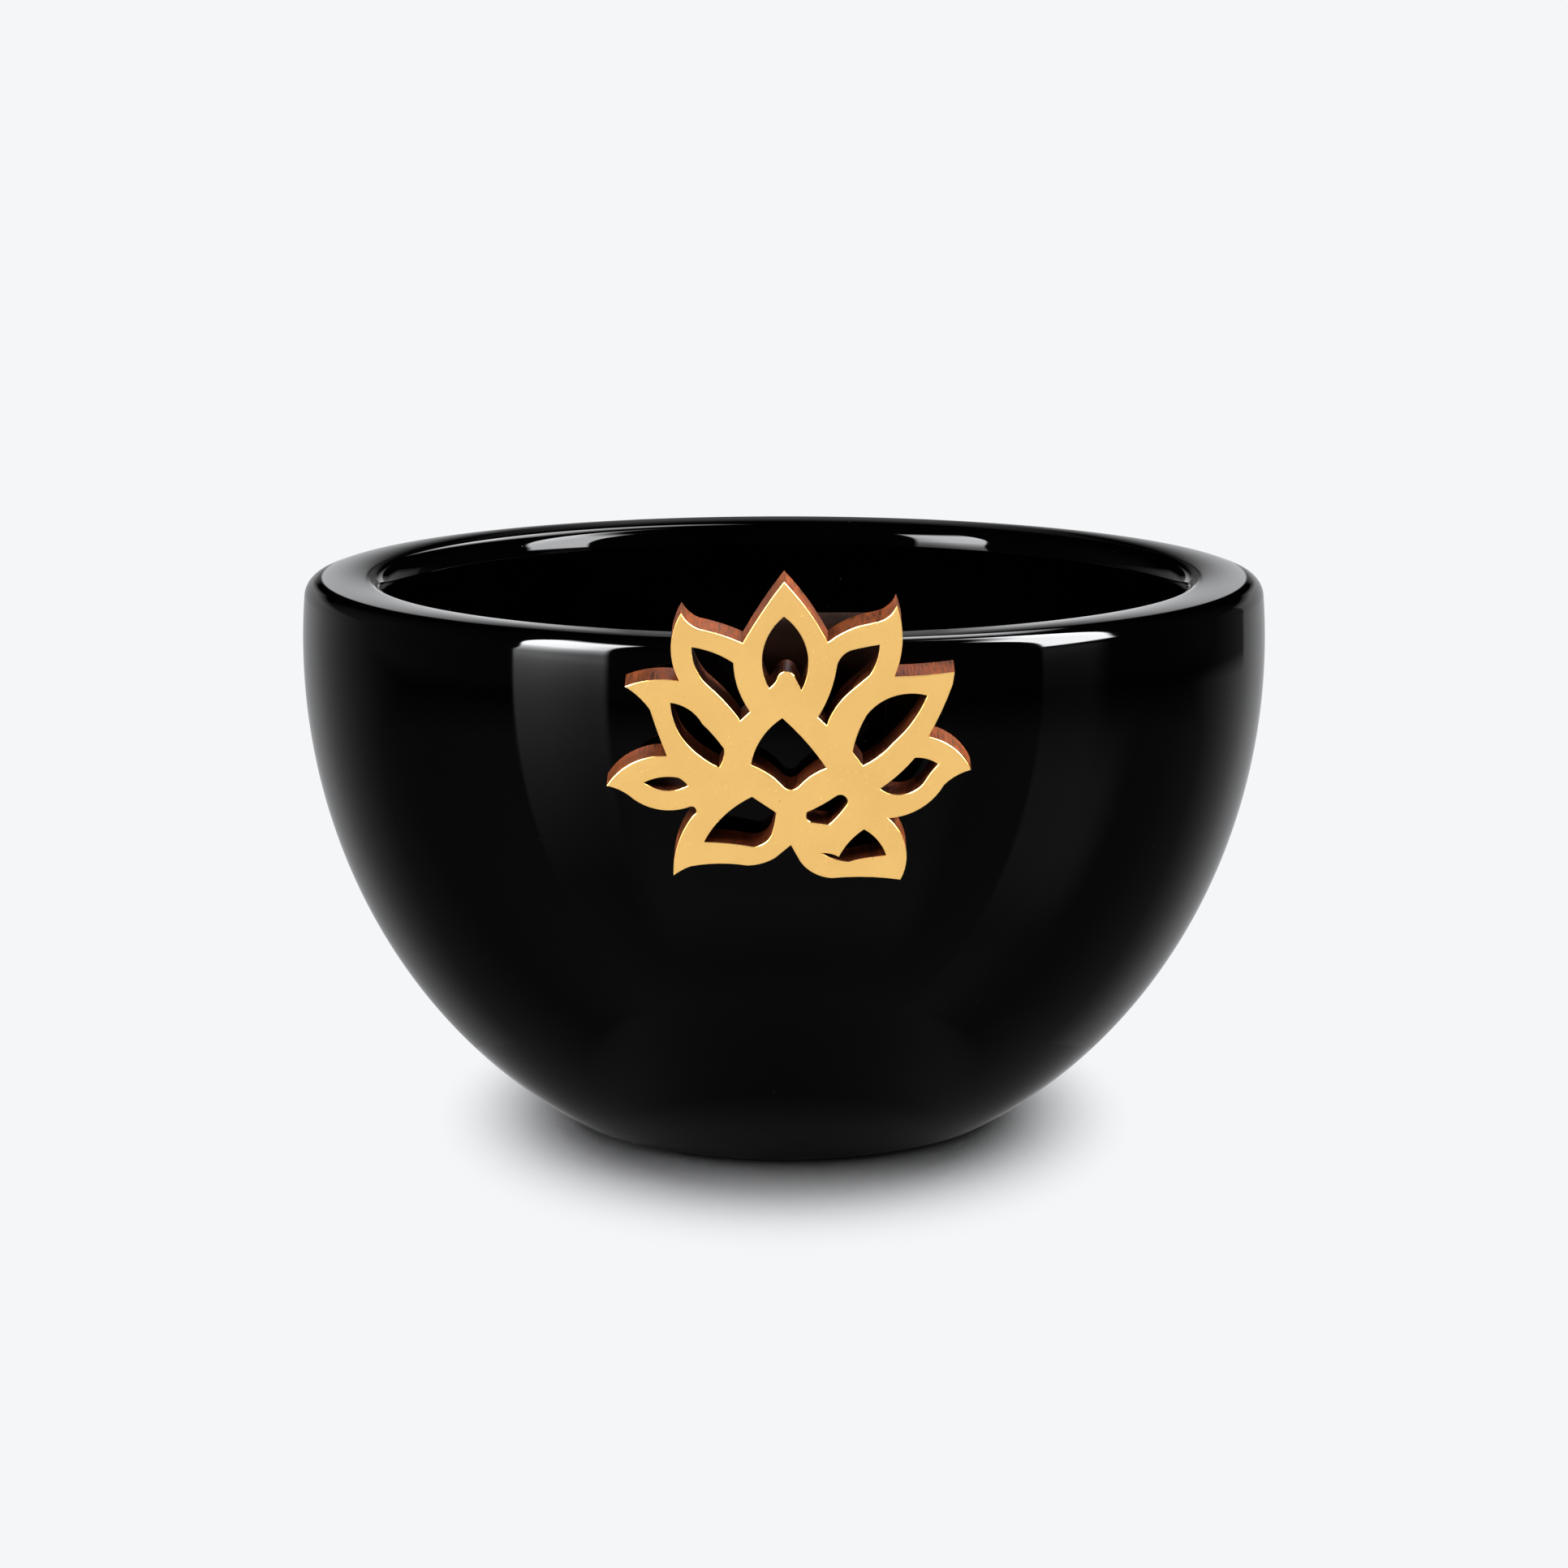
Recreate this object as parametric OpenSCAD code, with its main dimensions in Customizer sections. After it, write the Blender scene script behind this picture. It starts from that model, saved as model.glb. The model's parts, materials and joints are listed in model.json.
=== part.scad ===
// Polished black marble bowl with a pierced brass lotus that hooks over the rim.
// Millimetres. +Z is up, the origin is the centre of the base, and the lotus faces -Y.

/* [Bowl] */
// Outer diameter at the belly, the widest ring of the bowl
bowl_d = 127; // [105:1:155]
// Height of the belly above the base
belly_z = 64; // [52:1:78]
// Height of the rim above the belly
rim_rise = 9.5; // [6:0.5:12]
// Diameter of the flat base
base_d = 55; // [44:1:68]
// Thickness of the wall at the rim
wall_t = 10.5; // [8:0.1:13]
// Thickness of the floor at its centre
floor_t = 10; // [8:0.5:16]
// Rounding of the rim's outer edge
rim_round_out = 2.5; // [1:0.1:4]
// Rounding of the rim's inner edge
rim_round_in = 3.1; // [1:0.1:4]
// Height of the bevel round the base
base_bevel = 1.2; // [0.5:0.1:2]

/* [Lotus] */
// Width of the lotus between its side tips
lotus_w = 42.1; // [34:0.1:52]
// Thickness of the lotus plate
lotus_t = 4; // [3:0.1:6]
// Lean of the lotus, away from the bowl at its top, in degrees
lean = 12; // [10:0.5:15]
// Drop of the lotus's centre below the rim
lotus_drop = 11.7; // [9:0.1:14]

/* [Hook] */
// Width of the strap
hook_w = 15; // [10:0.5:18]
// Offset of the strap's middle from the lotus's centre line
hook_x = 4.3; // [0:0.1:5]
// Thickness of the strap
hook_t = 1.8; // [1.2:0.1:2.4]
// Inside radius of the strap's two bends
hook_bend = 2.5; // [1.5:0.1:3]
// Depth that the strap reaches inside the bowl, below the rim
hook_reach = 10; // [6:0.5:14]

/* [Fits] */
// Clearance between the hooked-on brass and the marble
seat_gap = 0.3; // [0.2:0.05:0.5]

/* [Hidden] */
$fn = 96;

// Both walls are arcs of ellipses centred at the belly. Above it, the inner one stands straight.
rim_z = belly_z + rim_rise;
outer_r = bowl_d / 2;
outer_b = belly_z / sqrt(1 - pow(base_d / bowl_d, 2));
inner_r = ellipse_r(outer_r, outer_b, rim_rise) - wall_t;
inner_b = belly_z - floor_t;
wall_steps = 32;
edge_steps = 8;

// The rim is flat between flat_in_r and flat_out_r. Its outer rounding leaves the wall at brim_rise
// above the belly, where the wall's normal rises by brim_lean.
brim_rounds = 6;
brim_rise = brim_height(rim_rise, brim_rounds);
brim_lean = wall_lean(brim_rise);
flat_out_r = ellipse_r(outer_r, outer_b, brim_rise) - rim_round_out * cos(brim_lean);
flat_in_r = inner_r + rim_round_in;

// The plate's back lies on a plane that leans by lean and clears the outer wall by seat_gap.
// wall_support is the wall's reach along that plane's normal, at touch_angle below the belly.
touch_angle = atan(outer_b / outer_r * tan(lean));
wall_support = sqrt(pow(outer_r * cos(lean), 2) + pow(outer_b * sin(lean), 2));
plate_reach = wall_support + seat_gap;
lotus_z = rim_z - lotus_drop;

// The strap's outer leg ends where the belly leaves no more room behind the plate.
leg_low_z = belly_z + outer_b * sin(acos(1 - hook_t / wall_support) - touch_angle);
web_z = rim_z + seat_gap;

// Each bend is wide enough for its centre to lie over the rim's flat, so it clears the rim's rounded edge.
// Along the strap's far edge the flat ends at inner_edge_y and the inner wall stands at inner_wall_y.
hook_far_x = abs(hook_x) + hook_w / 2;
inner_edge_y = -sqrt(pow(flat_in_r, 2) - pow(hook_far_x, 2));
inner_wall_y = -sqrt(pow(inner_r, 2) - pow(hook_far_x, 2));
leg_room = plate_reach - hook_t + (web_z - belly_z) * sin(lean) - flat_out_r * cos(lean);
inner_bend_r = max(hook_bend, inner_wall_y - inner_edge_y + seat_gap);
outer_bend_r = max(hook_bend, leg_room / (1 + sin(lean)));

// Outlines of the lotus, clockwise, as [x, y, bow]: the edge from each point to the next
// is an arc that bows out by that much, or in where the bow is negative.
// It is drawn as flats that lie within flat_error of the arc.
drawn_w = 42.1;
flat_error = 0.01;
lotus_edge = [
    // Top petal, right edge
    [0, 21.4, 0.3],
    // Upper right petal
    [5, 14.1, 0.15], [8.3, 16, 0], [10.8, 16.6, -0.35], [12.8, 18.6, 0.8],
    // Middle right petal
    [12.6, 9.9, -0.1], [19.5, 10.5, 0], [19.3, 9, 0.15],
    // Right side petal
    [16.6, 2.5, 0.8], [21.6, -1.6, -0.25], [18.5, -3.5, 1],
    // Lower right petal
    [12.1, -7.7, 1.35], [13.6, -15.5, -0.25], [5.6, -15.3, 0.5], [1.9, -13.2, 0],
    // Lower left petal
    [0.8, -11.1, 0], [-1, -12.7, 0.25], [-4.3, -13.7, -0.3], [-10.9, -13.8, -0.1], [-12.9, -15, 0.7],
    // Left side petal
    [-10.5, -7.3, -0.5], [-10.8, -6.2, 0.9], [-17.4, -5.3, -0.25], [-20.5, -3.6, 1.1],
    // Middle left petal
    [-13.5, 0.1, 0.05], [-15.4, 5.9, -0.2], [-18.2, 8.7, 0.45],
    // Upper left petal
    [-12, 9.4, 1.05], [-11.7, 17.6, -0.25], [-9.7, 15.7, 0.15],
    // Top petal, left edge
    [-4.7, 14, 0.15]
];
lotus_windows = [
    // Top petal
    [[0, 17.2, 1.65], [2, 8.3, 0], [1.3, 9.7, -0.9], [-0.8, 9.6, 0.1], [-1.7, 8.5, 1.55]],
    // Upper left petal
    [[-10.5, 13.5, 0.3], [-5.8, 11.6, -0.45], [-3.9, 5.6, 0], [-5, 4.5, -0.2], [-8.8, 8.9, 0.5]],
    // Upper right petal
    [[10.9, 13.8, 0.25], [9.8, 10.1, 0], [7.6, 8.1, -0.35], [4.9, 3.9, 0], [3.9, 4.9, -0.3],
     [6, 10.8, 0.4], [7.6, 13.1, 0.05]],
    // Middle left petal
    [[-13, 6.7, 0.55], [-9.4, 4.1, 0.1], [-6.9, 1, 0.2], [-7.5, -1.3, 0.35], [-11.7, 2.3, 0.3]],
    // Middle right petal
    [[16.4, 7.6, 0.4], [12.6, 1.8, 0.25], [9.1, -1.1, 0], [7.9, 0.6, 0.2], [9.5, 5.2, 1.15]],
    // Heart
    [[-0.2, 4.8, 0.25], [4.9, -1.4, -0.25], [1.8, -3.6, 0.4], [0, -3.8, -0.3], [-3.8, -1, 0.7]],
    // Left side petal
    [[-16.2, -3.2, 0.35], [-12.2, -2.6, 0.1], [-11.1, -3.6, 0.8]],
    // Right side petal
    [[15.1, -0.1, 0.25], [17.8, -0.9, -0.1], [16.2, -3.2, 1.1], [11.1, -4, -0.2]],
    // Lower left petal
    [[-3.7, -5, 0], [-0.9, -7, 0.05], [-1.4, -9.6, 0.45], [-3.6, -11.3, -0.15], [-9.3, -10.7, 0.65]],
    // Lower right petal, slot and wing
    [[5.9, -5, 0.8], [7.2, -6.1, 0.1], [5.2, -8.5, 0], [3.1, -8.2, 0.3], [2.7, -6.9, -0.1]],
    [[9.3, -9.1, 0.4], [11.9, -12.4, -0.1], [7.5, -13.2, 0.2], [4.4, -12.1, 0.15], [6.4, -12.6, 0.3]]
];

// Radius of an ellipse of half sizes a and b, at height z above its centre
function ellipse_r(a, b, z) = a * sqrt(1 - pow(z / b, 2));

// Rise of the outer wall's normal at height z above the belly, in degrees
function wall_lean(z) = atan(outer_r / outer_b * tan(asin(z / outer_b)));

// Height above the belly at which the rim's outer rounding leaves the wall, from a first guess z
function brim_height(z, rounds) =
    rounds == 0 ? z : brim_height(rim_rise - rim_round_out * (1 - sin(wall_lean(z))), rounds - 1);

// Points of a wall's ellipse between two heights from the belly
function wall_points(a, b, z0, z1) = [
    for (i = [0 : wall_steps])
    let (t = asin(z0 / b) + (asin(z1 / b) - asin(z0 / b)) * i / wall_steps)
    [a * cos(t), belly_z + b * sin(t)]
];

// Points of a circular arc, leaving out skip_first points at its start
function arc_points(c, r, from, to, skip_first = 0) = [
    for (i = [skip_first : edge_steps])
    let (t = from + (to - from) * i / edge_steps)
    [c.x + r * cos(t), c.y + r * sin(t)]
];

// Points from p up to but not including q, on the arc that bows out by p[2] on the left of the way
function bowed(p, q) =
    let (
        bow = p[2],
        chord = [q.x - p.x, q.y - p.y],
        along = chord / norm(chord),
        left = [-along.y, along.x],
        middle = [p.x, p.y] + chord / 2,
        steps = ceil(sqrt(abs(bow) / flat_error)),
        half = 2 * atan(2 * bow / norm(chord)),
        r = bow == 0 ? 0 : norm(chord) / (2 * sin(half))
    )
    bow == 0 ? [[p.x, p.y]] : [
        for (i = [0 : steps - 1])
        let (t = half * (2 * i / steps - 1))
        middle + left * (bow - r) + r * (sin(t) * along + cos(t) * left)
    ];

// Outline drawn at drawn_w, as a flat shape at the size that lotus_w sets
module outline(points) {
    last = len(points);
    scale(lotus_w / drawn_w)
        polygon([for (i = [0 : last - 1]) each bowed(points[i], points[(i + 1) % last])]);
}

// Y of the plate's back plane at height z
function back_y(z) = -(plate_reach + (z - belly_z) * sin(lean)) / cos(lean);

// Point at height z on the leaning line that runs down from a bend of radius r about c
function leg_point(c, r, z) = [c.x + (r - (z - c.y) * sin(lean)) / cos(lean), z];

module marble_bowl() {
    color("#161616")
        rotate_extrude()
        polygon(concat(
            [[0, 0], [base_d / 2 - base_bevel, 0]],
            wall_points(outer_r, outer_b, base_bevel - belly_z, brim_rise),
            arc_points([flat_out_r, rim_z - rim_round_out], rim_round_out, brim_lean, 90, skip_first = 1),
            arc_points([flat_in_r, rim_z - rim_round_in], rim_round_in, 90, 180),
            wall_points(inner_r, inner_b, 0, -inner_b)
        ));
}

// Pierced flat plate, its back on the leaning plane
module lotus_plate() {
    color("#efc174")
        translate([0, back_y(lotus_z), lotus_z])
        rotate([90 + lean, 0, 0])
        linear_extrude(lotus_t)
        difference() {
            outline(lotus_edge);
            for (window = lotus_windows)
                outline(window);
        }
}

// Bent strap brazed to the plate's back: up behind the plate, over the rim and down inside the bowl
module rim_hook() {
    outer_bend_z = web_z - outer_bend_r;
    outer_bend = [back_y(outer_bend_z) + (hook_t + outer_bend_r) / cos(lean), outer_bend_z];
    inner_bend = [inner_edge_y, web_z - inner_bend_r];
    reach_z = rim_z - hook_reach;
    color("#7a4526")
        translate([hook_x - hook_w / 2, 0, 0])
        rotate([90, 0, 90])
        linear_extrude(hook_w)
        polygon(concat(
            [[back_y(leg_low_z), leg_low_z]],
            arc_points(outer_bend, outer_bend_r + hook_t, 180 + lean, 90),
            arc_points(inner_bend, inner_bend_r + hook_t, 90, lean),
            [leg_point(inner_bend, inner_bend_r + hook_t, reach_z)],
            [leg_point(inner_bend, inner_bend_r, reach_z)],
            arc_points(inner_bend, inner_bend_r, lean, 90),
            arc_points(outer_bend, outer_bend_r, 90, 180 + lean),
            [[back_y(leg_low_z) + hook_t / cos(lean), leg_low_z]]
        ));
}

marble_bowl();
lotus_plate();
rim_hook();
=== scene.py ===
import json
import math

import bmesh
import bpy
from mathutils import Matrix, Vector


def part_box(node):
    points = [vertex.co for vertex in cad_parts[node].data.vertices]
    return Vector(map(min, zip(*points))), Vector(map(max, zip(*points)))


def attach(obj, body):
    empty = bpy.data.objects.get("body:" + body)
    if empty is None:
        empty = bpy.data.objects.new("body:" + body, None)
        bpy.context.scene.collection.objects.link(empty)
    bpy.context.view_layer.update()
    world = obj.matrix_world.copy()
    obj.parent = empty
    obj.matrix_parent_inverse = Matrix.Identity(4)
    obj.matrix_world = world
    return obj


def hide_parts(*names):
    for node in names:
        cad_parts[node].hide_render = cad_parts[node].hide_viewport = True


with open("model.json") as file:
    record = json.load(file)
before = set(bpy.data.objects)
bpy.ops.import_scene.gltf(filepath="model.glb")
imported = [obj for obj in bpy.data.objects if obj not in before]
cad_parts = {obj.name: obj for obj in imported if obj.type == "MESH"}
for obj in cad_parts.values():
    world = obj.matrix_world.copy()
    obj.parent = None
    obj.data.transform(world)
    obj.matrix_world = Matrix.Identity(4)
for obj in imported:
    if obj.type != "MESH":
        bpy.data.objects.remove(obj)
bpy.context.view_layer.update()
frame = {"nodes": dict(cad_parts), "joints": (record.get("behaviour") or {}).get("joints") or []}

scene = bpy.context.scene
scene.view_settings.view_transform = "Standard"

# Sizes of the bowl, in metres. The rest of its profile follows from its CAD box.
BELLY_Z = 0.064
BASE_R = 0.0275
WALL_T = 0.0105
FLOOR_T = 0.010
RIM_ROUND_OUT = 0.0025
RIM_ROUND_IN = 0.0031
BASE_BEVEL = 0.0012
LATHE_STEPS = 256
WALL_STEPS = 72
ROUND_STEPS = 40
# Step of the rim's inner rounding from which the stone has a lower specular level, painted shade on the
# reflections inside
INSIDE_FROM = 12
# Material slots of the bowl
POLISHED = 0
SHADED_INSIDE = 1

# The rim's top is slightly crowned: the radius of its highest ring, the radius of its curve,
# and how often the places are worked out again where the curve meets the rounded edges
CROWN_TOP = 0.060
CROWN_R = 0.057
CROWN_STEPS = 12
CROWN_ROUNDS = 12

# Edges of the lotus, in metres, and the corners at which its outline or a surface turns sharply
EDGE_R = 0.00008
EDGE_STEPS = 3
BACK_EDGE = 0.0001
SHARP = math.radians(32)
# Longest way that a corner moves in when its two edges move in by one
MITRE_MAX = 3
# Smallest cosine between the front's direction and a triangle of the front
FRONT_COSINE = 0.99
# Digits, in metres, by which points of the outline are told apart
PLACE_DIGITS = 8
# How far the normals lean to the front at both ends of each strip round the lotus, from its back
EDGE_TURNS = [math.radians(90) * k / EDGE_STEPS for k in range(EDGE_STEPS + 1)]
BACK_LEAN = math.radians(-45)
EDGE_LEANS = [(BACK_LEAN, BACK_LEAN), (0, 0), *zip(EDGE_TURNS, EDGE_TURNS[1:])]
# How many of these strips are sawn: the back's edge and the side
SAWN_STRIPS = 2
# Material slots of the lotus
FACE = 0
OUTLINE = 1
BACK = 2
WINDOW = 3

# Edges of the strap: what is broken off them, and the angles that tell a flat and an edge apart
STRAP_EDGE = 0.0003
STRAP_FLAT = math.radians(1)
STRAP_CORNER = math.radians(40)
STRAP_STEPS = 2
ROUND_PROFILE = 0.5
SAME_POINT = 1e-6

# Gloss of the marble: its refractive index, and its specular level outside and inside, where the lower level
# inside is painted shade on its reflections
MARBLE_IOR = 1.13
MARBLE_LEVEL_OUT = 0.5
MARBLE_LEVEL_IN = 0.25

# Most values of a noise lie in this span.
NOISE_SPAN = (0.3, 0.7)

# Pale surroundings, as linear colour
PALE = (0.914, 0.922, 0.939, 1)
FLOOR_COLOUR = (0.882, 0.890, 0.906, 1)
WHITE = (1, 1, 1, 1)


# Nodes

class Graph:
    """Adds nodes to a node tree and joins them."""

    def __init__(self, tree):
        self.tree = tree

    def put(self, socket, value):
        if isinstance(value, bpy.types.NodeSocket):
            self.tree.links.new(value, socket)
        else:
            socket.default_value = value

    def add(self, kind, inputs=(), **settings):
        node = self.tree.nodes.new(kind)
        for name, value in settings.items():
            setattr(node, name, value)
        for name, value in dict(inputs).items():
            self.put(node.inputs[name], value)
        return node

    def math(self, operation, a, b=0.0):
        return self.add("ShaderNodeMath", {0: a, 1: b}, operation=operation).outputs[0]

    def chain(self, operation, first, others):
        for value in others:
            first = self.math(operation, first, value)
        return first

    def product(self, first, *others):
        return self.chain("MULTIPLY", first, others)

    def total(self, first, *others):
        return self.chain("ADD", first, others)

    def largest(self, first, *others):
        return self.chain("MAXIMUM", first, others)

    def smallest(self, first, *others):
        return self.chain("MINIMUM", first, others)

    def minus(self, a, b):
        return self.math("SUBTRACT", a, b)

    def spread(self, value, span, to=(0.0, 1.0), smooth=False):
        """Maps the two ends of a span to two results, and keeps to these beyond its ends."""
        inputs = {0: value, 1: span[0], 2: span[1], 3: to[0], 4: to[1]}
        how = "SMOOTHSTEP" if smooth else "LINEAR"
        return self.add("ShaderNodeMapRange", inputs, interpolation_type=how).outputs[0]

    def place(self):
        return self.add("ShaderNodeTexCoord").outputs["Object"]

    def axes(self, vector):
        return self.add("ShaderNodeSeparateXYZ", {0: vector}).outputs

    def scaled(self, vector, scale):
        return self.add("ShaderNodeMapping", {"Vector": vector, "Scale": scale}).outputs["Vector"]

    def times(self, vector, factor):
        inputs = {0: vector, "Scale": factor}
        return self.add("ShaderNodeVectorMath", inputs, operation="SCALE").outputs["Vector"]

    def dot(self, a, b):
        return self.add("ShaderNodeVectorMath", {0: a, 1: b}, operation="DOT_PRODUCT").outputs["Value"]

    def turn(self, x, y):
        """Angle in degrees from the front, positive to the right."""
        return self.math("DEGREES", self.math("ARCTAN2", x, self.product(y, -1.0)))

    def noise(self, vector, scale, detail, roughness):
        inputs = {"Vector": vector, "Scale": scale, "Detail": detail, "Roughness": roughness}
        return self.add("ShaderNodeTexNoise", inputs).outputs["Fac"]

    def specks(self, vector, scale, size, patch_scale, patch, strength=1.0):
        """Round dots, one to a cell, which show only in the patches of a wider noise."""
        cells = self.add("ShaderNodeTexVoronoi", {"Vector": vector, "Scale": scale, "Randomness": 1.0})
        dots = self.spread(cells.outputs["Distance"], size, (1.0, 0.0))
        patches = self.noise(vector, patch_scale, detail=2, roughness=0.5)
        return self.product(dots, self.spread(patches, patch, (0.0, strength)))

    def blend(self, factor, a, b):
        node = self.add("ShaderNodeMix", data_type="RGBA", blend_type="MIX")
        for name, value in (("Factor_Float", factor), ("A_Color", a), ("B_Color", b)):
            self.put(next(s for s in node.inputs if s.identifier == name), value)
        return next(s for s in node.outputs if s.identifier == "Result_Color")

    def bump(self, height, strength, distance):
        inputs = {"Height": height, "Strength": strength, "Distance": distance}
        return self.add("ShaderNodeBump", inputs).outputs["Normal"]

    def rays(self):
        """Whether a ray comes straight or through glass from the camera, and whether it comes from gloss."""
        path = self.add("ShaderNodeLightPath").outputs
        return self.largest(path["Is Camera Ray"], path["Is Transmission Ray"]), path["Is Glossy Ray"]

    def mixed(self, factor, first, second):
        """The output of two shaders' mix."""
        inputs = {0: factor, 1: first.outputs[0], 2: second.outputs[0]}
        return self.add("ShaderNodeMixShader", inputs).outputs[0]


def surface(name, **constants):
    """A new material, its graph and its shader, with the constants set on the shader's own sockets."""
    material = bpy.data.materials.new(name)
    material.use_nodes = True
    shader = material.node_tree.nodes["Principled BSDF"]
    for socket, value in constants.items():
        shader.inputs[socket.replace("_", " ")].default_value = value
    return material, Graph(material.node_tree), shader


# Materials

def marble_material(name, level):
    """Black marble with faint clouds and grey specks, whose gloss has the given specular level."""
    black = (0.0002, 0.0002, 0.0002, 1)
    cloud_grey = (0.0009, 0.0008, 0.0008, 1)
    speck_grey = (0.030, 0.029, 0.028, 1)
    base_grey = (0.03, 0.03, 0.03, 1)
    base_roughness = 0.4
    wave_height = 0.6
    speck_height = -0.4
    material, g, shader = surface(name, IOR=MARBLE_IOR, Specular_IOR_Level=level)
    place = g.place()
    base = g.spread(g.axes(place)["Z"], (0.0002, 0.0008), (1.0, 0.0))
    clouds = g.spread(g.noise(place, scale=55, detail=6, roughness=0.6), (0.35, 0.7))
    specks = g.specks(place, scale=320, size=(0.03, 0.07), patch_scale=140, patch=(0.60, 0.66))
    colour = g.blend(clouds, black, cloud_grey)
    colour = g.blend(specks, colour, speck_grey)
    colour = g.blend(base, colour, base_grey)
    g.put(shader.inputs["Base Color"], colour)
    polish = g.spread(g.noise(place, scale=90, detail=3, roughness=0.5), NOISE_SPAN, (0.025, 0.05))
    g.put(shader.inputs["Roughness"], g.total(polish, g.product(base, base_roughness)))
    waves = g.product(g.noise(place, scale=60, detail=2, roughness=0.4), wave_height)
    pits = g.product(specks, speck_height)
    g.put(shader.inputs["Normal"], g.bump(g.total(waves, pits), strength=0.05, distance=0.0002))
    return material


def face_material():
    """Satin brass with fine grain and a few small pits."""
    brass = (0.905, 0.550, 0.175, 1)
    pale_brass = (0.955, 0.592, 0.193, 1)
    pit_brown = (0.42, 0.20, 0.06, 1)
    grain_height = 0.3
    material, g, shader = surface("satin_brass", Metallic=1.0)
    place = g.place()
    clouds = g.spread(g.noise(place, scale=130, detail=4, roughness=0.6), NOISE_SPAN)
    pits = g.specks(place, scale=900, size=(0.06, 0.14), patch_scale=420, patch=(0.62, 0.68), strength=0.6)
    colour = g.blend(clouds, brass, pale_brass)
    g.put(shader.inputs["Base Color"], g.blend(pits, colour, pit_brown))
    grain = g.noise(place, scale=2600, detail=3, roughness=0.6)
    g.put(shader.inputs["Roughness"], g.spread(grain, NOISE_SPAN, (0.27, 0.36)))
    height = g.minus(g.product(grain, grain_height), pits)
    g.put(shader.inputs["Normal"], g.bump(height, strength=0.12, distance=0.00004))
    return material


def side_material(name, across, dark, light, metallic):
    """Brown sawn sides, streaked along the plate's thickness, which runs along across. Their brown is partly
    the metal's own tone and partly painted shade for the dark surroundings that they reflect.
    """
    tint = (0.35, 0.12, 0.05, 1)
    flattened = 0.94
    streak_share = 0.7
    stain_share = 0.3
    material, g, shader = surface(name, Metallic=metallic, Specular_IOR_Level=0.2, Specular_Tint=tint)
    place = g.place()
    depth = g.times(g.times(across, g.dot(place, across)), flattened)
    drawn_out = g.add("ShaderNodeVectorMath", {0: place, 1: depth}, operation="SUBTRACT").outputs["Vector"]
    streaks = g.noise(drawn_out, scale=5200, detail=3, roughness=0.7)
    stains = g.noise(place, scale=260, detail=4, roughness=0.6)
    tone = g.total(g.product(streaks, streak_share), g.product(stains, stain_share))
    g.put(shader.inputs["Base Color"], g.blend(g.spread(tone, (0.40, 0.61)), dark, light))
    g.put(shader.inputs["Roughness"], g.spread(streaks, NOISE_SPAN, (0.42, 0.60)))
    g.put(shader.inputs["Normal"], g.bump(streaks, strength=0.35, distance=0.00012))
    return material


def stained_material(name, dark, light, stain_scale, stain_span, grain_scale, roughness, **constants):
    """Stained brass with a grain that is drawn out along one axis."""
    material, g, shader = surface(name, **constants)
    place = g.place()
    stains = g.spread(g.noise(place, stain_scale, detail=5, roughness=0.65), stain_span)
    g.put(shader.inputs["Base Color"], g.blend(stains, dark, light))
    grain = g.noise(g.scaled(place, grain_scale), scale=1.0, detail=3, roughness=0.6)
    g.put(shader.inputs["Roughness"], g.spread(grain, NOISE_SPAN, roughness))
    g.put(shader.inputs["Normal"], g.bump(grain, strength=0.2, distance=0.00006))
    return material


# Pieces

def add_piece(name, mesh, materials, body, node):
    for material in materials:
        mesh.materials.append(material)
    piece = bpy.data.objects.new(name, mesh)
    scene.collection.objects.link(piece)
    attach(piece, body)
    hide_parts(node)


def full_turn(steps):
    return [2 * math.pi * i / steps for i in range(steps)]


def steps_between(start, end, steps):
    return [start + (end - start) * i / steps for i in range(steps + 1)]


def ellipse_r(a, b, z):
    """Radius of an ellipse of half sizes a and b, at height z from its centre."""
    return a * math.sqrt(1 - (z / b) ** 2)


def ellipse_arc(a, b, centre, low, high, steps):
    """Points of an ellipse between two heights from its centre."""
    turns = steps_between(math.asin(low / b), math.asin(high / b), steps)
    return [(a * math.cos(t), centre + b * math.sin(t)) for t in turns]


def arc(r, z, radius, start, end, steps):
    """Points of a circular arc about r and z, between two angles."""
    turns = steps_between(start, end, steps)
    return [(r + radius * math.cos(t), z + radius * math.sin(t)) for t in turns]


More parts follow.
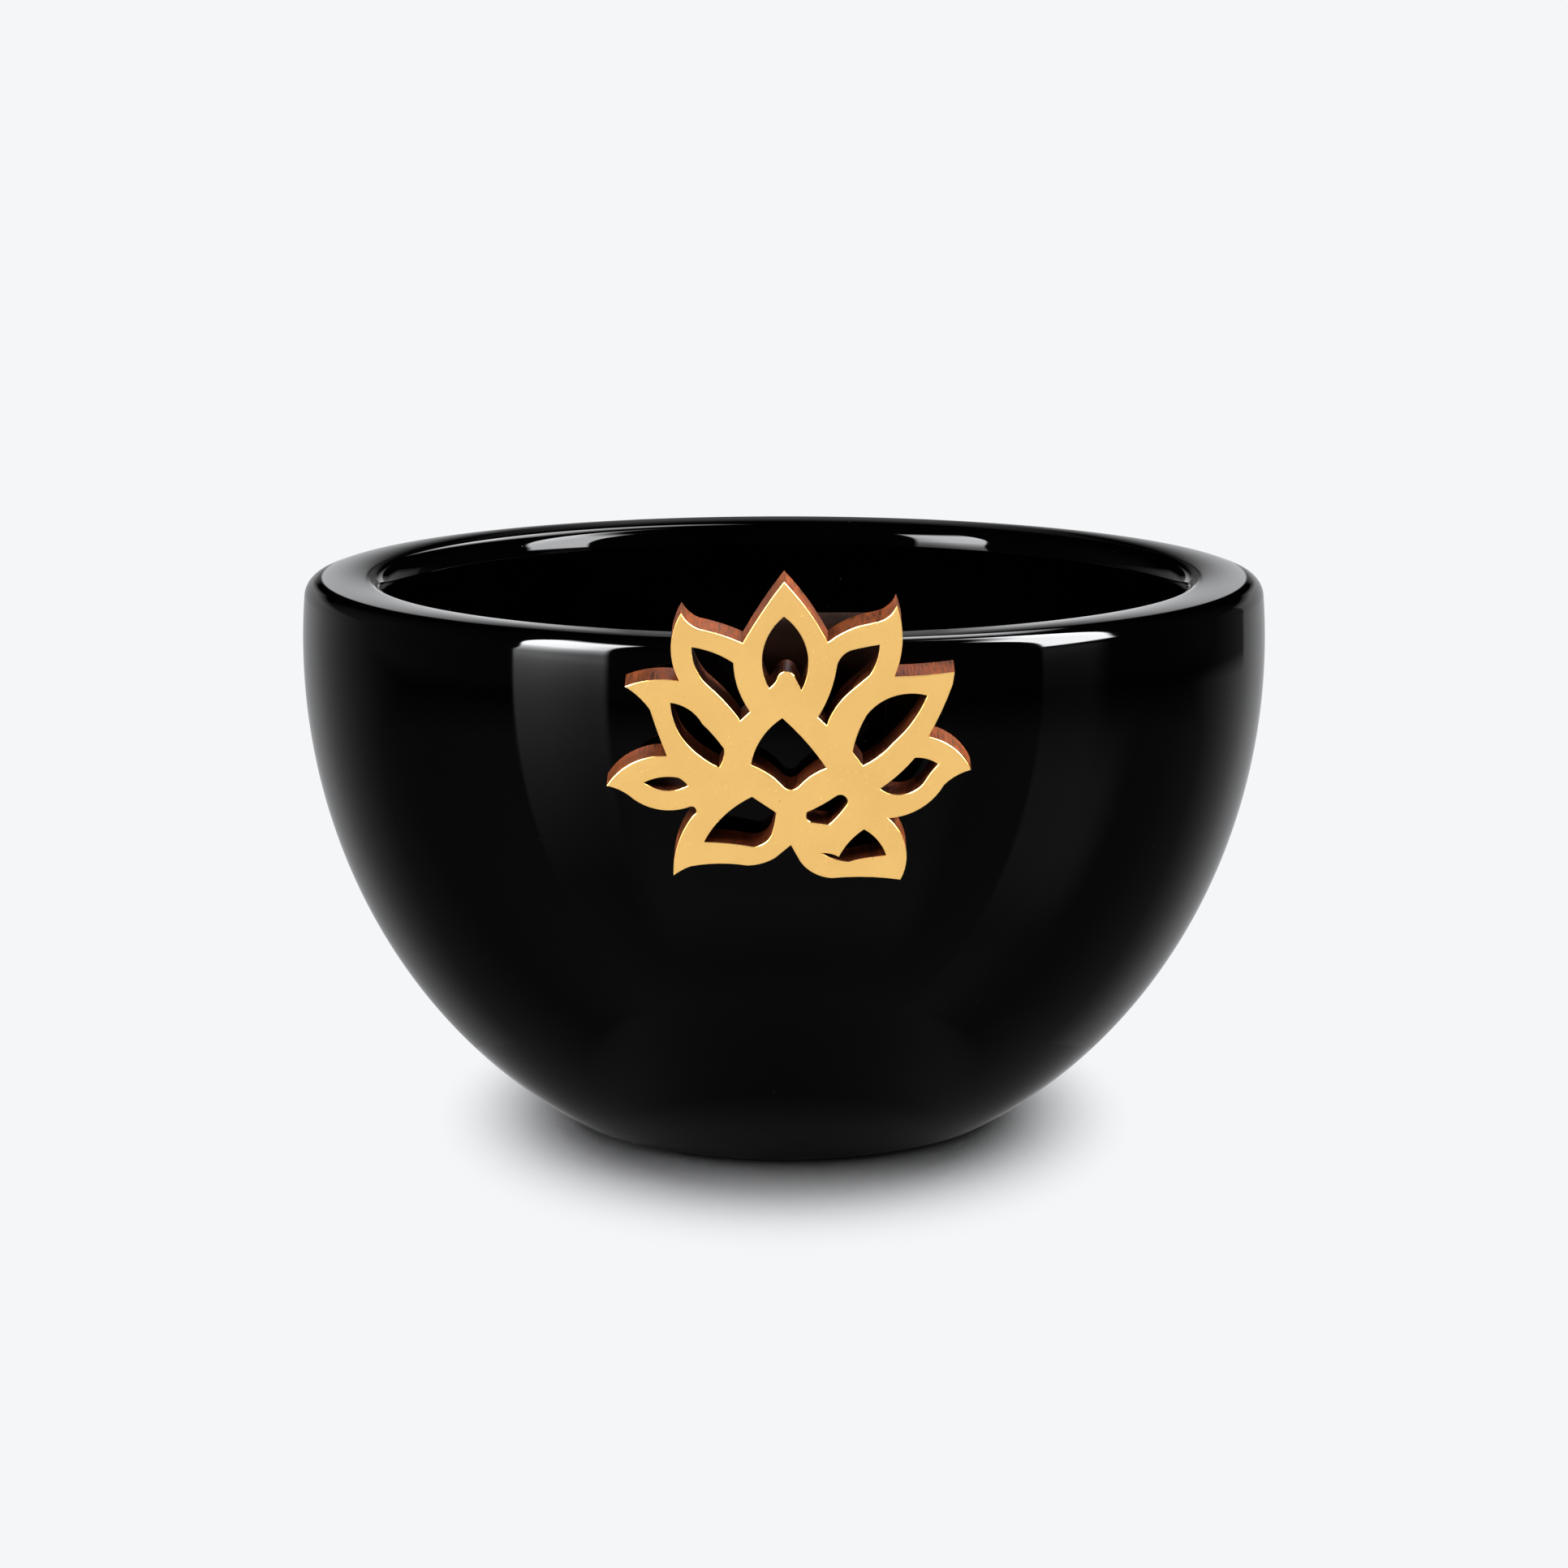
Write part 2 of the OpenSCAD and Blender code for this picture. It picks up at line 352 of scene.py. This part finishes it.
def bowl_profile():
    """Half section of the bowl: from the base out and over the rim, and from there down the inside."""
    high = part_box("marble_bowl")[1]
    outer_r, rim_z = high.x, high.z
    outer_b = BELLY_Z / math.sqrt(1 - (BASE_R / outer_r) ** 2)
    inner_r = ellipse_r(outer_r, outer_b, rim_z - BELLY_Z) - WALL_T
    inner_b = BELLY_Z - FLOOR_T
    crown_z = rim_z - CROWN_R
    in_r = inner_r + RIM_ROUND_IN
    brim = rim_z - BELLY_Z
    out_tilt = in_tilt = 0.0
    for _ in range(CROWN_ROUNDS):
        lean = math.atan(outer_r / outer_b * math.tan(math.asin(brim / outer_b)))
        out_r = ellipse_r(outer_r, outer_b, brim) - RIM_ROUND_OUT * math.cos(lean)
        out_tilt = math.asin((out_r + RIM_ROUND_OUT * math.sin(out_tilt) - CROWN_TOP) / CROWN_R)
        in_tilt = math.asin((CROWN_TOP - in_r + RIM_ROUND_IN * math.sin(in_tilt)) / CROWN_R)
        out_z = crown_z + (CROWN_R - RIM_ROUND_OUT) * math.cos(out_tilt)
        brim = out_z + RIM_ROUND_OUT * math.sin(lean) - BELLY_Z
    in_z = crown_z + (CROWN_R - RIM_ROUND_IN) * math.cos(in_tilt)
    up, inward = math.radians(90), math.radians(180)
    base = [(BASE_R - BASE_BEVEL, 0.0)]
    wall = ellipse_arc(outer_r, outer_b, BELLY_Z, BASE_BEVEL - BELLY_Z, brim, WALL_STEPS)
    outer_edge = arc(out_r, out_z, RIM_ROUND_OUT, lean, up - out_tilt, ROUND_STEPS)
    crown = arc(CROWN_TOP, crown_z, CROWN_R, up - out_tilt, up + in_tilt, CROWN_STEPS)
    inner_edge = arc(in_r, in_z, RIM_ROUND_IN, up + in_tilt, inward, ROUND_STEPS)
    inside = ellipse_arc(inner_r, inner_b, BELLY_Z, 0, -inner_b, WALL_STEPS)
    outside = base + wall + outer_edge[1:] + crown[1:] + inner_edge[1:INSIDE_FROM]
    return outside, inner_edge[INSIDE_FROM:] + inside[:-1]


def bowl_mesh():
    """The profile turned about the bowl's axis, and closed in the middle of the base and of the floor."""
    outside, inside = bowl_profile()
    profile = outside + inside
    turns = full_turn(LATHE_STEPS)
    points = [(r * math.cos(t), r * math.sin(t), z) for r, z in profile for t in turns]
    under, over = len(points), len(points) + 1
    points += [(0, 0, 0), (0, 0, FLOOR_T)]
    last = (len(profile) - 1) * LATHE_STEPS
    dull_from = len(outside) * LATHE_STEPS
    faces, slots = [], []
    for i in range(LATHE_STEPS):
        j = (i + 1) % LATHE_STEPS
        faces.append((under, j, i))
        slots.append(POLISHED)
        for row in range(0, last, LATHE_STEPS):
            faces.append((row + i, row + j, row + LATHE_STEPS + j, row + LATHE_STEPS + i))
            slots.append(SHADED_INSIDE if row >= dull_from else POLISHED)
        faces.append((last + i, last + j, over))
        slots.append(SHADED_INSIDE)
    mesh = bpy.data.meshes.new("marble_bowl_lathe")
    mesh.from_pydata(points, [], faces)
    mesh.polygons.foreach_set("material_index", slots)
    mesh.shade_smooth()
    mesh.set_sharp_from_angle(angle=SHARP)
    return mesh


def front_loops(triangles):
    """Closed loops of the edges that only one triangle has, with the plate on their left."""
    edges = {(t[i], t[(i + 1) % 3]) for t in triangles for i in range(3)}
    following = {a: b for a, b in edges if (b, a) not in edges}
    loops = []
    while following:
        first = min(following)
        loop, at = [first], following.pop(first)
        while at != first:
            loop.append(at)
            at = following.pop(at)
        loops.append(loop)
    return loops


def lotus_mesh():
    """The CAD plate again, with rounded front edges and its face, sides and back told apart.
    Also gives the direction that its face looks in."""
    # The only joint lifts the lotus along its own plane.
    up = Vector(frame["joints"][0]["axis"]).normalized()
    right = Vector((1, 0, 0))
    out = right.cross(up)
    cad = frame["nodes"]["lotus_plate"].data
    cad.calc_loop_triangles()
    places = [
        (round(v.co.dot(right), PLACE_DIGITS), round(v.co.dot(up), PLACE_DIGITS))
        for v in cad.vertices
    ]
    depths = [v.co.dot(out) for v in cad.vertices]
    back_w, front_w = min(depths), max(depths)
    triangles = [
        tuple(places[v] for v in t.vertices)
        for t in cad.loop_triangles if t.normal.dot(out) > FRONT_COSINE
    ]

    points, faces, normals, slots = [], [], [], []

    def point(flat, w):
        points.append(right * flat[0] + up * flat[1] + out * w)
        return len(points) - 1

    def face(corners, directions, slot):
        faces.append(corners)
        normals.extend(directions)
        slots.append(slot)

    front, behind = {}, {}
    for loop in front_loops(triangles):
        count = len(loop)
        area = sum(loop[i - 1][0] * loop[i][1] - loop[i][0] * loop[i - 1][1] for i in range(count))
        side = OUTLINE if area > 0 else WINDOW
        heads = [Vector(loop[(i + 1) % count]) - Vector(loop[i]) for i in range(count)]
        outward = [Vector((d.y, -d.x)).normalized() for d in heads]
        rows, before, after = [], [], []
        for i in range(count):
            a, b = outward[i - 1], outward[i]
            mitre = (a + b) / (1 + a.dot(b))
            if mitre.length > MITRE_MAX:
                mitre = mitre.normalized() * MITRE_MAX
            here = Vector(loop[i])
            column = [point(here - mitre * BACK_EDGE, back_w), point(here, back_w + BACK_EDGE)]
            for turn in EDGE_TURNS:
                inset = EDGE_R * (1 - math.cos(turn))
                column.append(point(here - mitre * inset, front_w - EDGE_R * (1 - math.sin(turn))))
            rows.append(column)
            behind[loop[i]], front[loop[i]] = column[0], column[-1]
            sharp = a.angle(b) > SHARP
            mean = (a + b).normalized()
            before.append(a if sharp else mean)
            after.append(b if sharp else mean)
        for i in range(count):
            j = (i + 1) % count
            here = right * after[i].x + up * after[i].y
            there = right * before[j].x + up * before[j].y
            for k, (low, high) in enumerate(EDGE_LEANS):
                directions = [
                    (n * math.cos(t) + out * math.sin(t)).normalized()
                    for n, t in ((here, low), (here, high), (there, high), (there, low))
                ]
                corners = (rows[i][k], rows[i][k + 1], rows[j][k + 1], rows[j][k])
                face(corners[::-1], directions[::-1], side if k < SAWN_STRIPS else FACE)
    for t in triangles:
        face(tuple(front[p] for p in t), [out] * 3, FACE)
        face(tuple(behind[p] for p in reversed(t)), [-out] * 3, BACK)

    mesh = bpy.data.meshes.new("lotus_plate_cut")
    mesh.from_pydata(points, [], faces)
    mesh.polygons.foreach_set("material_index", slots)
    mesh.shade_smooth()
    mesh.normals_split_custom_set(normals)
    return mesh, out


def strap_mesh():
    """The CAD strap again, with its edges broken."""
    mesh = bpy.data.meshes.new("rim_hook_bent")
    shape = bmesh.new()
    shape.from_mesh(frame["nodes"]["rim_hook"].data)
    bmesh.ops.remove_doubles(shape, verts=shape.verts, dist=SAME_POINT)
    bmesh.ops.dissolve_limit(shape, angle_limit=STRAP_FLAT, verts=shape.verts, edges=shape.edges)
    corners = [e for e in shape.edges if e.calc_face_angle(0) > STRAP_CORNER]
    bmesh.ops.bevel(
        shape, geom=corners, offset=STRAP_EDGE, segments=STRAP_STEPS,
        profile=ROUND_PROFILE, affect="EDGES")
    shape.to_mesh(mesh)
    shape.free()
    mesh.shade_smooth()
    mesh.set_sharp_from_angle(angle=SHARP)
    mesh.materials.clear()
    return mesh


lotus, plate_out = lotus_mesh()
marble = [
    marble_material("polished_black_marble", MARBLE_LEVEL_OUT),
    marble_material("black_marble_inside", MARBLE_LEVEL_IN),
]
# The outline's sides: partly the metal's own brown, partly painted shade for the dark surroundings they
# reflect
copper_brown_and_shade = side_material(
    "sawn_copper_brown_and_painted_shade", plate_out,
    dark=(0.020, 0.0055, 0.0018, 1), light=(0.21, 0.055, 0.017, 1), metallic=0.35)
# The windows' sides: the same sawn brass, darker and less metallic, as painted shade inside the windows
shaded_window_brown = side_material(
    "sawn_brown_painted_shade", plate_out,
    dark=(0.005, 0.0016, 0.0008, 1), light=(0.10, 0.022, 0.007, 1), metallic=0.1)
dull_brass = stained_material(
    "dull_brass", dark=(0.30, 0.135, 0.045, 1), light=(0.60, 0.33, 0.11, 1),
    stain_scale=150, stain_span=(0.35, 0.68),
    grain_scale=(300, 2400, 2400), roughness=(0.36, 0.5), Metallic=1.0)
# Near-black, barely glossy brass for the strap: partly patina, partly painted shade where it shows through
# the windows
patina_and_shade = stained_material(
    "brass_patina_painted_shade", dark=(0.0015, 0.0008, 0.0005, 1), light=(0.009, 0.0037, 0.0022, 1),
    stain_scale=190, stain_span=(0.34, 0.68),
    grain_scale=(2400, 260, 260), roughness=(0.48, 0.64), Specular_IOR_Level=0.004)
# In the order of the lotus's material slots
brass = [face_material(), copper_brown_and_shade, dull_brass, shaded_window_brown]
add_piece("bowl_marble", bowl_mesh(), marble, "bowl", "marble_bowl")
add_piece("lotus_brass", lotus, brass, "lotus", "lotus_plate")
add_piece("hook_brass", strap_mesh(), [patina_and_shade], "lotus", "rim_hook")


# Floor

# The floor is an ellipse, with its half sizes in metres. Its lit middle fades to the pale surroundings.
FLOOR_X = 0.048
FLOOR_Y = 0.067
FLOOR_STEPS = 96
# Shares of the floor between which it fades, as the camera and as gloss sees it
FADE = (0.55, 1.0)
GLOSS_FADE = (0.45, 0.65)

# Levels at which the floor and the ground glow for gloss, a painted reflection of a lit ground: in front, at
# the sides and behind, and those close to the bowl, where the low level in front is a painted shadow
GROUND_FRONT = 0.65
GROUND_SIDE = 0.24
GROUND_BACK = 0.58
NEAR_FRONT_SHADOW = 0.18
NEAR_BACK = 0.56


def floor_material():
    material, g, shader = surface(
        "pale_floor", Base_Color=FLOOR_COLOUR, Roughness=1.0, Specular_IOR_Level=0.0)
    seen, glossy = g.rays()
    place = g.place()
    shares = g.scaled(place, (1 / FLOOR_X, 1 / FLOOR_Y, 0))
    reach = g.add("ShaderNodeVectorMath", {0: shares}, operation="LENGTH").outputs["Value"]
    fade = g.product(g.spread(reach, FADE, smooth=True), seen)
    gloss_fade = g.product(g.spread(reach, GLOSS_FADE, smooth=True), glossy)
    axes = g.axes(place)
    turn = g.turn(g.math("ABSOLUTE", axes["X"]), axes["Y"])
    front_end = g.spread(reach, (0.85, 1.0), (48, 38))
    front = g.spread(turn, (28, front_end), (GROUND_FRONT, GROUND_SIDE), smooth=True)
    back = g.spread(turn, (56, 112), (GROUND_SIDE, GROUND_BACK), smooth=True)
    # Close to the bowl the floor glows dimmer for gloss, a painted shadow in its reflection
    near = g.spread(turn, (56, 106), (NEAR_FRONT_SHADOW, NEAR_BACK), smooth=True)
    ground = g.spread(reach, (GLOSS_FADE[1], 1.0), (near, g.largest(front, back)))
    pale = g.add("ShaderNodeEmission", {"Color": PALE, "Strength": g.largest(seen, ground)})
    both = g.mixed(g.largest(fade, gloss_fade), shader, pale)
    g.put(material.node_tree.nodes["Material Output"].inputs["Surface"], both)
    material.cycles.emission_sampling = "NONE"
    return material


floor_mesh = bpy.data.meshes.new("floor")
floor_edge = [(FLOOR_X * math.cos(t), FLOOR_Y * math.sin(t), 0) for t in full_turn(FLOOR_STEPS)]
floor_mesh.from_pydata(floor_edge, [], [range(FLOOR_STEPS)])
floor_mesh.materials.append(floor_material())
floor = bpy.data.objects.new("floor", floor_mesh)
scene.collection.objects.link(floor)


# World

# It is pale to the camera, and lights what is matt softly from above. Gloss sees a backdrop, two softboxes,
# a strip, a dim room and the ground. Angles are in degrees, azimuths from the front to the right.
KEY_LIGHT = {"azimuth": 0, "elevation": 75, "tightness": 5, "strength": 3.77}
BEHIND = 180

# Strengths of what gloss sees. Where there are two, they stand for the two ends of a range of angles.
GLOW = 1.65
GLOW_CENTRE = 0.05
GLOW_FAR = 0.2
BACKDROP_LEFT = 0.77
BACKDROP_RIGHT = 0.85
LEFT_BOX = 240
LEFT_BOX_LEVEL = 27.7
LEFT_BOX_GROWTH = 1.0689
RIGHT_BOX = (215, 158)
RIGHT_SPILL = 2.2
STRIP = 11.5
FRONT_GLEAM = 0.4
RIGHT_GLEAM = 0.65
ROOM = (0.3, 0.1)
# How fast light below the horizon grows dim, for each degree
SINKING = 0.5


class Sky(Graph):
    """Nodes that light up parts of the world, by the azimuth and elevation that a ray leaves for."""

    def __init__(self, tree):
        super().__init__(tree)
        self.direction = self.add("ShaderNodeTexCoord").outputs["Generated"]
        axes = self.axes(self.direction)
        self.azimuth = self.turn(axes["X"], axes["Y"])
        self.elevation = self.math("DEGREES", self.math("ARCSINE", axes["Z"]))
        self.sideways = self.math("ABSOLUTE", self.azimuth)
        self.from_behind = self.minus(BEHIND, self.sideways)
        below = self.largest(self.product(self.elevation, -1.0), 0.0)
        self.sinking = self.total(self.product(below, SINKING), 1.0)

    def lobe(self, azimuth, elevation, tightness, strength):
        """A soft light, strongest in one direction."""
        turn, rise = math.radians(azimuth), math.radians(elevation)
        aim = (math.sin(turn) * math.cos(rise), -math.cos(turn) * math.cos(rise), math.sin(rise))
        near = self.largest(self.dot(self.direction, aim), 0.0)
        return self.product(self.math("POWER", near, tightness), strength)

    def window(self, value, span, soft):
        """One inside a span, with soft ends of the two given widths."""
        low, high = span
        rise = self.spread(value, (low, low + soft[0]), smooth=True)
        fall = self.spread(value, (high - soft[1], high), (1.0, 0.0), smooth=True)
        return self.product(rise, fall)

    def fall(self, value, span, smooth=False):
        """One before a span and nothing after it."""
        return self.spread(value, span, (1.0, 0.0), smooth)

    def past(self, value, start):
        """By how much a value is past a start."""
        return self.largest(self.total(value, -start), 0.0)

    def bend(self, start, curve):
        """How far an upright edge bends back: curve times the square of the elevation past start."""
        rise = self.past(self.elevation, start)
        return self.product(rise, rise, curve)


def backdrop(sky):
    """A glow low behind the bowl, which reaches higher to the sides and is dim in the very middle."""
    middle_w = 4.4
    slope = 1.74
    highest = 14.0
    top = sky.total(
        sky.spread(sky.from_behind, (0, middle_w), (-6.1, -0.4)),
        sky.product(sky.past(sky.from_behind, middle_w), slope))
    above_top = sky.minus(sky.elevation, sky.smallest(top, highest))
    glow = sky.spread(above_top, (0, 12), (GLOW, 0.0), smooth=True)

    left = sky.spread(sky.azimuth, (-145, -94), (BACKDROP_LEFT, 0.0))
    gap_height = sky.spread(sky.elevation, (-9, -7.5), (0.0, 0.75))
    gap = sky.product(sky.window(sky.azimuth, (96, 139.5), soft=(1, 1.5)), gap_height)
    right = sky.product(sky.spread(sky.azimuth, (105, 145), (0.0, BACKDROP_RIGHT)), sky.minus(1.0, gap))
    sides_top = sky.spread(sky.sideways, (158, 166), (10, 3))
    sides = sky.product(
        sky.largest(left, right),
        sky.spread(sky.sideways, (150, 176), (1.0, 0.65)),
        sky.fall(sky.minus(sky.elevation, sides_top), (0, 6)),
        sky.spread(sky.elevation, (-45, -12), (0.35, 1.0)))

    ground_line = (-12, -2)
    middle = sky.product(
        sky.spread(sky.from_behind, (7, 9), (GLOW, 0.0)),
        sky.spread(sky.elevation, ground_line, smooth=True))
    centre = sky.largest(
        sky.spread(sky.from_behind, (2.2, 4.2), (GLOW_CENTRE, GLOW)),
        sky.spread(sky.elevation, ground_line, (GLOW, 0.0)))
    far_glow = sky.product(
        sky.spread(sky.from_behind, (2, 4), (GLOW_FAR, 0.0)),
        sky.fall(sky.elevation, (9, 16), smooth=True))
    return sky.total(sky.smallest(glow, centre, sky.total(sides, middle)), far_glow)


def left_box(sky):
    """A softbox with bent sides, whose light fades downwards."""
    back_bend = sky.bend(start=12, curve=0.0128)
    front_bend = sky.bend(start=0, curve=0.0035)
    back_edge = sky.spread(sky.total(sky.azimuth, back_bend), (-65.2, -64.2), smooth=True)
    front_edge = sky.fall(sky.total(sky.azimuth, front_bend), (-42.0, -40.0), smooth=True)
    growth = sky.math("POWER", LEFT_BOX_GROWTH, sky.past(sky.elevation, 0))
    level = sky.smallest(sky.product(growth, LEFT_BOX_LEVEL), LEFT_BOX)
    dimmer_front = sky.spread(sky.azimuth, (-57, -45), (1.0, 0.62))
    top = sky.fall(sky.elevation, (56, 64), smooth=True)
    foot = sky.spread(sky.elevation, (-38, -10), (0.03, 1.0))
    return sky.product(
        back_edge, front_edge, sky.math("DIVIDE", level, sky.sinking), dimmer_front, top, foot)


def right_box(sky):
    """A softbox with bent sides and a slanting lower edge."""
    slant_start = 65
    slant = 0.22
    front_bend = sky.bend(start=0, curve=0.0056)
    back_bend = sky.bend(start=20, curve=0.032)
    front_edge = sky.spread(sky.minus(sky.azimuth, front_bend), (61.2, 62.4), smooth=True)
    back_edge = sky.fall(sky.minus(sky.azimuth, back_bend), (85.5, 88.5), smooth=True)
    rise = sky.product(sky.minus(sky.azimuth, slant_start), slant)
    lower_edge = sky.spread(sky.minus(sky.elevation, rise), (16.5, 21.5), smooth=True)
    level = sky.spread(sky.azimuth, (70, 95), RIGHT_BOX)
    top = sky.fall(sky.elevation, (58, 67), smooth=True)
    return sky.product(front_edge, back_edge, lower_edge, level, top)


def right_spill(sky):
    """Dim light below the right softbox."""
    sides = sky.window(sky.azimuth, (61, 82), soft=(1, 8))
    level = sky.math("DIVIDE", RIGHT_SPILL, sky.sinking)
    return sky.product(sides, level, sky.fall(sky.elevation, (9, 16)))


def strip(sky):
    """A dim strip high behind on the right, with a slanting edge."""
    slant = 0.75
    edge = sky.spread(sky.total(sky.azimuth, sky.product(sky.elevation, slant)), (192, 197))
    end = sky.fall(sky.azimuth, (176, 178))
    return sky.product(edge, end, sky.fall(sky.elevation, (44, 54)), STRIP)


def ground(sky):
    """The ground beyond the floor, paler in front."""
    level = sky.spread(sky.sideways, (60, 105), (GROUND_FRONT, GROUND_SIDE), smooth=True)
    return sky.product(level, sky.fall(sky.elevation, (-14, -6)))


def front_gleam(sky):
    """More light on the ground in front."""
    sides = sky.spread(sky.sideways, (36, 44), (FRONT_GLEAM, 0.0))
    return sky.product(sides, sky.window(sky.elevation, (-60, -8), soft=(16, 10)))


def right_gleam(sky):
    """More light on the ground below the right softbox."""
    sides = sky.window(sky.azimuth, (60.5, 92), soft=(1.5, 12))
    return sky.product(sides, sky.window(sky.elevation, (-48, -8), soft=(18, 15)), RIGHT_GLEAM)


def room(sky):
    """A dim room in front and at the sides, darker to the right and high up."""
    back_end = sky.fall(sky.sideways, (115, 150))
    level = sky.spread(sky.azimuth, (-40, 60), ROOM)
    foot = sky.spread(sky.elevation, (-9, -5))
    high_up = sky.spread(sky.elevation, (20, 50), (1.0, 0.3))
    return sky.product(back_end, level, foot, high_up)


world = bpy.data.worlds.new("studio")
world.use_nodes = True
world.node_tree.nodes.clear()
scene.world = world
sky = Sky(world.node_tree)
seen, glossy = sky.rays()
mirrored = sky.total(
    sky.largest(backdrop(sky), ground(sky), room(sky)),
    front_gleam(sky), right_gleam(sky), left_box(sky), right_box(sky), right_spill(sky), strip(sky))
shown = sky.total(seen, sky.product(glossy, mirrored))
soft_light = sky.add("ShaderNodeBackground", {"Color": WHITE, "Strength": sky.lobe(**KEY_LIGHT)})
surroundings = sky.add("ShaderNodeBackground", {"Color": PALE, "Strength": shown})
both = sky.mixed(sky.largest(seen, glossy), soft_light, surroundings)
sky.add("ShaderNodeOutputWorld", {"Surface": both})


# Camera

CAMERA_LENS = 86.19
CAMERA_SENSOR = 36
CAMERA_PLACE = (0, -0.49433, 0.13911)
CAMERA_TILT = math.radians(79.18)

camera = bpy.data.objects.new("camera", bpy.data.cameras.new("camera"))
camera.data.lens = CAMERA_LENS
camera.data.sensor_width = CAMERA_SENSOR
camera.location = CAMERA_PLACE
camera.rotation_euler = (CAMERA_TILT, 0, 0)
scene.collection.objects.link(camera)
scene.camera = camera
